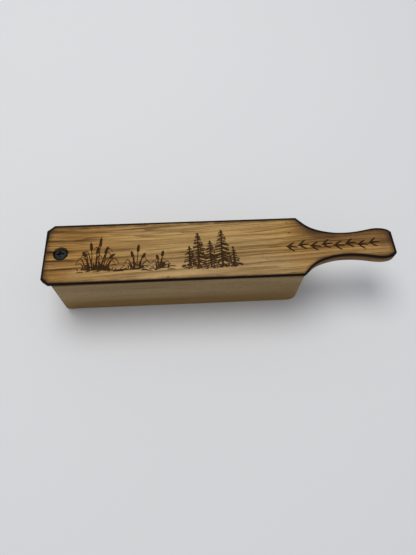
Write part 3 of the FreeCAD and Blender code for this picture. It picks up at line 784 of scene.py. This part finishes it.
def pale_wood(name, along, seed, light=(0.346, 0.240, 0.115), deep=(0.270, 0.174, 0.072)):
    """A close-grained pale wood. along is the axis the grain runs along; end grain shows on the faces square to x."""
    m = Nodes(name)
    x, y, z = m.xyz()
    order = {"x": (x, y, z), "z": (z, y, x)}[along]
    off = seed * 13.7
    wander = m.noise(m.scaled(m.position(), (0.02, 0.05, 0.05), (off, 0, off)), 1.0, 2.0)
    a = order[0]
    b = m.math("ADD", order[1], m.math("MULTIPLY", wander, 3.5))
    cc = m.math("ADD", order[2], m.math("MULTIPLY", wander, 4.5))
    g = m.vec(a, b, cc)
    broad = m.noise(m.scaled(g, (0.010, 0.09, 0.11), (off, 1, 2)), 1.0, 3.0, 0.5)
    rings = m.noise(m.scaled(g, (0.006, 0.35, 0.42), (2, off, 2)), 1.0, 4.0, 0.6)
    fine = m.noise(m.scaled(g, (0.05, 3.4, 3.4), (5, off, 1)), 1.0, 5.0, 0.62)
    fleck = m.noise(m.scaled(g, (0.30, 5.5, 5.5), (off, 8, 4)), 1.0, 2.0, 0.5)
    brown = m.noise(m.scaled(g, (0.016, 0.55, 0.60), (1, 3, off)), 1.0, 3.0, 0.5)
    c = m.mix(m.span(broad, 0.33, 0.68), light, deep)
    c = m.mix(m.span(rings, 0.50, 0.72, 0.0, 0.45), c, tuple(v * 0.72 for v in deep))
    c = m.mix(m.span(fine, 0.45, 0.8, 0.0, 0.32), c, tuple(v * 0.66 for v in deep))
    c = m.mix(m.span(fleck, 0.62, 0.74, 0.0, 0.45), c, (0.165, 0.098, 0.045))
    c = m.mix(m.span(brown, 0.62, 0.72, 0.0, 0.60), c, (0.190, 0.098, 0.032))
    # short darker specks and a light flake between them, thinning out towards the foot
    speck = m.noise(m.scaled(g, (0.42, 1.25, 1.25), (3, off, 7)), 1.0, 3.0, 0.6)
    up = m.span(z, 9.0, 22.0, 0.35, 1.0)
    c = m.mix(m.math("MULTIPLY", m.span(speck, 0.54, 0.68, 0.0, 0.42), up), c, tuple(v * 0.56 for v in deep))
    c = m.mix(m.math("MULTIPLY", m.span(speck, 0.46, 0.32, 0.0, 0.35), up), c, tuple(min(1.0, v * 1.28) for v in light))
    # end grain on the faces square to x: arcs of growth rings, and pores as dots
    t = m.new("ShaderNodeTexCoord")
    sep = m.new("ShaderNodeSeparateXYZ")
    m.put(sep.inputs[0], t.outputs["Normal"])
    end = m.span(m.math("ABSOLUTE", sep.outputs[0]), 0.55, 0.85)
    cy, cz = 38.0 * math.sin(seed * 2.1), -46.0 + 9.0 * math.cos(seed * 1.7)
    dy, dz = m.math("SUBTRACT", y, cy), m.math("SUBTRACT", z, cz)
    wob = m.noise(m.scaled(m.position(), (0.2, 0.11, 0.11), (off, 2, 1)), 1.0, 3.0, 0.55)
    dist = m.math("SQRT", m.math("ADD", m.math("MULTIPLY", dy, dy), m.math("MULTIPLY", dz, dz)))
    dist = m.math("ADD", dist, m.math("MULTIPLY", wob, 5.0))
    arc = m.math("FRACT", m.math("MULTIPLY", dist, 0.52))
    arc = m.math("MULTIPLY", m.span(arc, 0.30, 0.92), m.span(arc, 1.0, 0.94))
    dots = m.span(m.noise(m.scaled(m.position(), (3.2, 3.2, 3.2), (1, off, 3)), 1.0, 2.0, 0.6), 0.55, 0.72)
    ec = m.mix(m.span(wob, 0.3, 0.7), tuple(v * 0.86 for v in light), tuple(v * 0.78 for v in deep))
    ec = m.mix(m.math("MULTIPLY", arc, 0.55), ec, tuple(v * 0.48 for v in deep))
    ec = m.mix(m.math("MULTIPLY", dots, 0.35), ec, tuple(v * 0.40 for v in deep))
    c = m.mix(end, c, ec)
    # painted shade: the boards go darker and warmer towards the foot, standing in for the shade near the floor
    low = m.span(m.math("ADD", z, m.math("MULTIPLY", wander, 5.0)), 21.0, 11.0)
    c = m.mix(m.math("MULTIPLY", low, 0.85), c, m.mix(1.0, c, (0.86, 0.76, 0.50), "MULTIPLY"))
    m.put(m.bsdf.inputs["Base Color"], c)
    m.put(m.bsdf.inputs["Roughness"], m.span(fine, 0.3, 0.7, 0.52, 0.66, "LINEAR"))
    h = m.math("ADD", m.math("MULTIPLY", fine, 0.6), m.math("MULTIPLY", m.span(fleck, 0.64, 0.76), -0.6))
    m.put(m.bsdf.inputs["Normal"], m.bump(h, 0.00005, 0.5))
    m.bsdf.inputs["Specular IOR Level"].default_value = 0.2
    return m.mat


def steel(name, colour, rough, scratch=0.5, metallic=1.0, scale=(6, 6, 6)):
    m = Nodes(name)
    n1 = m.noise(m.scaled(m.position(), scale), 1.0, 4.0, 0.6)
    n2 = m.noise(m.scaled(m.position(), (22, 22, 22), (3, 1, 4)), 1.0, 3.0, 0.6)
    c = m.mix(m.span(n1, 0.35, 0.75, 0.0, scratch), colour, tuple(min(1, v * 1.9 + 0.012) for v in colour))
    m.put(m.bsdf.inputs["Base Color"], c)
    m.bsdf.inputs["Metallic"].default_value = metallic
    m.put(m.bsdf.inputs["Roughness"], m.span(n2, 0.3, 0.7, rough - 0.07, rough + 0.10, "LINEAR"))
    m.put(m.bsdf.inputs["Normal"], m.bump(m.math("ADD", n2, n1), 0.00002, 0.35))
    m.bsdf.inputs["Specular IOR Level"].default_value = 0.5 if metallic else 0.22
    return m.mat


# ---------------------------------------------------------------- the lid
lid_material = lid_wood()
verts, faces, attr = build_lid()
lid = make_object("lid", verts, faces, "lid", [lid_material], smooth_angle=38)
lid_x = verts[:, 0] - X0
lid_y = verts[:, 1]
shoulder = np.exp(-((lid_x - 170) / 12.0) ** 2)
heat = (shoulder * np.where(lid_y > 0, 0.72, 0.06) + np.exp(-((lid_x - 219) / 6.0) ** 2) * 0.45 + smooth(160, 176, lid_x) * np.where(lid_y > 0, 0.16, 0.02)
        + np.exp(-(np.hypot(lid_x - 2, np.abs(lid_y) - 19) / 5.0) ** 2) * 0.30 + np.exp(-((lid_x - 0) / 5.0) ** 2) * 0.26
        + np.exp(-((lid_x - 22) / 26.0) ** 2) * np.where(lid_y > 0, 0.16, 0.07))
heat *= 0.55 + 0.80 * (0.5 + 0.5 * value_noise(lid_x / 7, lid_y / 5, 63, 3))
attr["singe"] = np.clip(heat, 0, 1)
knots = np.zeros(len(lid_x))
for kx, ky, kr in ((153.4, 9.4, 0.55), (152.8, 17.3, 0.42), (76.2, -18.7, 0.45), (137.0, -9.2, 0.30), (13.5, 14.6, 0.30)):
    knots = np.maximum(knots, 1 - smooth(kr * 0.6, kr * 1.5, np.hypot((lid_x - kx) / 1.5, lid_y - ky)))
attr["knot"] = knots
for key in ("burn", "edge", "streak", "top", "singe", "knot"):
    float_attribute(lid, key, attr[key])
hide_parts("lid_paddle")

# ---------------------------------------------------------------- the screw
def build_screw():
    """Pan head with a tapered cross recess, plain shank, wood thread and gimlet point, about its own axis."""
    verts, faces = [], []
    head_r, rim_z, top_z, low_z = 3.62, 42.58, 43.33, 41.17
    # the dome: a circle through the rim and the crown
    rise = top_z - rim_z
    ball = (head_r ** 2 + rise ** 2) / (2 * rise)

    def dome(r):
        return top_z - ball + np.sqrt(ball ** 2 - np.minimum(r, head_r) ** 2)

    def recess(a, b):
        out = np.zeros_like(a)
        for u, v in ((np.abs(a), np.abs(b)), (np.abs(b), np.abs(a))):
            floor = np.minimum(1.75, np.maximum(0, 2.08 - u) * 1.9 + 0.42 * np.clip((2.08 - u) / 0.07, 0, 1))
            wall = np.maximum(0, 0.66 - v) * 8.0
            out = np.maximum(out, np.minimum(floor, wall))
        cone = np.maximum(0, 1.15 - np.hypot(a, b)) * 3.2
        return np.maximum(out, np.minimum(1.75, cone))

    half_lines = np.unique(np.round(np.concatenate([
        np.linspace(0, 0.30, 7), [0.34, 0.38, 0.42, 0.46, 0.50, 0.53, 0.58, 0.66], np.linspace(0.74, 1.94, 16), [1.99, 2.01, 2.045, 2.08, 2.11, 2.18, 2.3]]), 4))
    lines_1d = np.concatenate([-half_lines[:0:-1], half_lines])
    A, B = np.meshgrid(lines_1d, lines_1d, indexing="ij")
    Z = dome(np.hypot(A, B)) - recess(A, B)
    turn = math.radians(8)
    ct, st = math.cos(turn), math.sin(turn)
    for a, b, z in zip(A.ravel(), B.ravel(), Z.ravel()):
        verts.append((a * ct - b * st, a * st + b * ct, z))
    n = len(lines_1d)
    ids = np.arange(n * n).reshape(n, n)
    for i in range(n - 1):
        for j in range(n - 1):
            faces.append((ids[i, j], ids[i + 1, j], ids[i + 1, j + 1], ids[i, j + 1]))
    ring = list(ids[:, 0]) + list(ids[-1, 1:]) + list(ids[-2::-1, -1]) + list(ids[0, -2:0:-1])
    N = 120
    th = np.arange(N) * 2 * math.pi / N

    def circle(r, z):
        start = len(verts)
        rr_, zz_ = np.broadcast_to(r, th.shape), np.broadcast_to(z, th.shape)
        for t, q, w in zip(th, rr_, zz_):
            verts.append((q * math.cos(t), q * math.sin(t), w))
        return list(range(start, start + N))

    first = circle(3.28, dome(3.28))
    ang = np.array([math.atan2(verts[i][1], verts[i][0]) for i in ring]) % (2 * math.pi)
    order = np.argsort(ang)
    ring, ang = [ring[i] for i in order], ang[order]
    for f in zipper(ring + [ring[0]], first + [first[0]], list(ang) + [2 * math.pi + ang[0]], list(th) + [2 * math.pi]):
        faces.append(f)
    outline = [(3.42, dome(3.42)), (3.53, dome(3.53) - 0.02), (3.60, rim_z - 0.02), (3.63, rim_z - 0.12), (3.64, rim_z - 0.30),
               (3.64, 42.0), (3.64, 41.5), (3.60, 41.28), (3.50, low_z), (2.6, low_z), (2.05, low_z), (1.92, 41.05), (1.88, 40.8)]
    outline += [(1.88, z) for z in np.arange(40.0, 34.4, -0.8)]
    loops = [first] + [circle(r, z) for r, z in outline]
    # thread: the radius follows a helix, fading out at the shank and drawn to a point below
    pitch, top_t, tip = 1.6, 34.2, 15.9
    for z in np.arange(34.2, tip - 1e-6, -0.1):
        phase = (z / pitch + th / (2 * math.pi)) % 1.0
        crest = np.clip(1 - np.abs(phase - 0.5) / 0.28, 0, 1) ** 0.8
        fade = smooth(34.2, 32.6, z)
        root = 1.88 + (1.42 - 1.88) * fade
        taper = float(np.clip((z - tip) / 4.2, 0.02, 1)) ** 0.75
        loops.append(circle((root + (2.08 - root) * crest * fade) * taper, z))
    for r0, r1 in zip(loops, loops[1:]):
        for k in range(N):
            q = (k + 1) % N
            faces.append((r0[k], r1[k], r1[q], r0[q]))
    end = len(verts)
    verts.append((0, 0, tip - 0.06))
    for k in range(N):
        faces.append((loops[-1][k], end, loops[-1][(k + 1) % N]))
    return np.array(verts), faces


screw_material = steel("black_screw", (0.011, 0.012, 0.014), 0.56, 0.20, 0.0)
sv, sf = build_screw()
sv[:, 0] += SCREW_X
screw = make_object("screw", sv, sf, "box", [screw_material], smooth_angle=32)
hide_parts("pivot_screw")

def build_spring():
    """The conical spring: a round wire, flat at both ends, with its small end under the screw's head."""
    wire, turns, r_low, r_high = 0.29, 3.25, 3.9, 3.05
    low, high = BORE_FLOOR + 0.32, 41.17 - 0.32
    n, ring_n = 168, 14
    t = np.linspace(0, 1, n)
    a = 2 * math.pi * turns * t
    rise = np.clip((t - 0.12) / 0.76, 0, 1)
    rise = rise * rise * (3 - 2 * rise) * 0.35 + rise * 0.65
    r = r_low + (r_high - r_low) * t
    line = np.stack([r * np.cos(a), r * np.sin(a), low + (high - low) * rise], 1)
    along = np.gradient(line, axis=0)
    along /= np.linalg.norm(along, axis=1)[:, None]
    out = line * [1, 1, 0]
    out -= np.sum(out * along, axis=1)[:, None] * along
    out /= np.linalg.norm(out, axis=1)[:, None]
    side = np.cross(along, out)
    th = np.arange(ring_n) * 2 * math.pi / ring_n
    verts = (line[:, None, :] + wire * (np.cos(th)[None, :, None] * out[:, None, :] + np.sin(th)[None, :, None] * side[:, None, :])).reshape(-1, 3)
    faces = [(i * ring_n + k, i * ring_n + (k + 1) % ring_n, (i + 1) * ring_n + (k + 1) % ring_n, (i + 1) * ring_n + k)
             for i in range(n - 1) for k in range(ring_n)]
    faces.append(tuple(range(ring_n))[::-1])
    faces.append(tuple((n - 1) * ring_n + k for k in range(ring_n)))
    return verts + [SCREW_X, 0, 0], faces


# The spring stands on the lid's counterbore and bears on the screw's head.
pv, pf = build_spring()
mesh = bpy.data.meshes.new("spring")
mesh.from_pydata([tuple(v) for v in pv * MM], [], pf)
mesh.update()
mesh.materials.append(steel("spring_wire", (0.34, 0.35, 0.33), 0.30, 0.4))
mesh.shade_smooth()
mesh.set_sharp_from_angle(angle=math.radians(60))
spring = bpy.data.objects.new("spring", mesh)
bpy.context.scene.collection.objects.link(spring)
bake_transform(spring)
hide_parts("pivot_spring")


def wear(node, material):
    ob = nodes[node]
    if not ob.material_slots:
        ob.data.materials.append(material)
    for s in ob.material_slots:
        s.material = material


wear("front_side_board", pale_wood("front_side_wood", "x", 1))
wear("rear_side_board", pale_wood("rear_side_wood", "x", 2))
wear("base_board", pale_wood("base_wood", "x", 3, deep=(0.285, 0.188, 0.082)))
wear("pivot_end_block", pale_wood("pivot_block_wood", "x", 4, light=(0.340, 0.240, 0.120), deep=(0.260, 0.172, 0.076)))
wear("handle_end_block", pale_wood("handle_block_wood", "x", 5, light=(0.340, 0.240, 0.120), deep=(0.260, 0.172, 0.076)))
wear("pivot_washer", steel("washer_steel", (0.48, 0.48, 0.47), 0.34, 0.5))

# ---------------------------------------------------------------- floor, light, camera
floor_mat = Nodes("floor")
floor_mat.bsdf.inputs["Base Color"].default_value = (0.78, 0.785, 0.80, 1)
floor_mat.bsdf.inputs["Roughness"].default_value = 0.75
floor_mat.bsdf.inputs["Specular IOR Level"].default_value = 0.25
mesh = bpy.data.meshes.new("floor")
R = 3.0
mesh.from_pydata([(-R, -R, 0), (R, -R, 0), (R, R, 0), (-R, R, 0)], [], [(0, 1, 2, 3)])
floor = bpy.data.objects.new("floor", mesh)
bpy.context.scene.collection.objects.link(floor)
floor.data.materials.append(floor_mat.mat)

scene = bpy.context.scene
scene.view_settings.view_transform = "Standard"
world = bpy.data.worlds.new("studio")
scene.world = world
world.use_nodes = True
world.node_tree.nodes["Background"].inputs[0].default_value = (0.93, 0.96, 1.0, 1)
world.node_tree.nodes["Background"].inputs[1].default_value = 0.44


def lamp(name, pos, target, size, power, colour=(1, 1, 1)):
    d = bpy.data.lights.new(name, "AREA")
    d.shape = "DISK"
    d.size = size
    d.energy = power
    d.color = colour
    o = bpy.data.objects.new(name, d)
    scene.collection.objects.link(o)
    o.location = pos
    o.rotation_euler = (Vector(target) - Vector(pos)).to_track_quat("-Z", "Y").to_euler()
    return o


lamp("key", (-0.22, 0.36, 1.30), (0, 0, 0), 0.95, 9.8, (1.0, 0.985, 0.96))

# Camera: position and direction worked out in the call's own frame.
PSI, TILT, ROLL = math.radians(5.023), math.radians(27.33), math.radians(2.208)
cp, sp = math.cos(PSI), math.sin(PSI)
fwd = Vector((sp * math.sin(TILT), cp * math.sin(TILT), -math.cos(TILT)))
right = Vector((cp, -sp, 0))
up = Vector((sp * math.cos(TILT), cp * math.cos(TILT), math.sin(TILT)))
r2 = right * math.cos(ROLL) + up * math.sin(ROLL)
u2 = -right * math.sin(ROLL) + up * math.cos(ROLL)
cam_data = bpy.data.cameras.new("camera")
cam_data.sensor_width = 36.0
cam_data.lens = 416.05 / 555 * 36.0
cam = bpy.data.objects.new("camera", cam_data)
scene.collection.objects.link(cam)
rot = Matrix((r2, u2, -fwd)).transposed().to_4x4()
cam.matrix_world = Matrix.Translation(Vector((-19.8, -134.7, 265.5)) * MM) @ rot
cam_data.clip_start = 0.01
scene.camera = cam
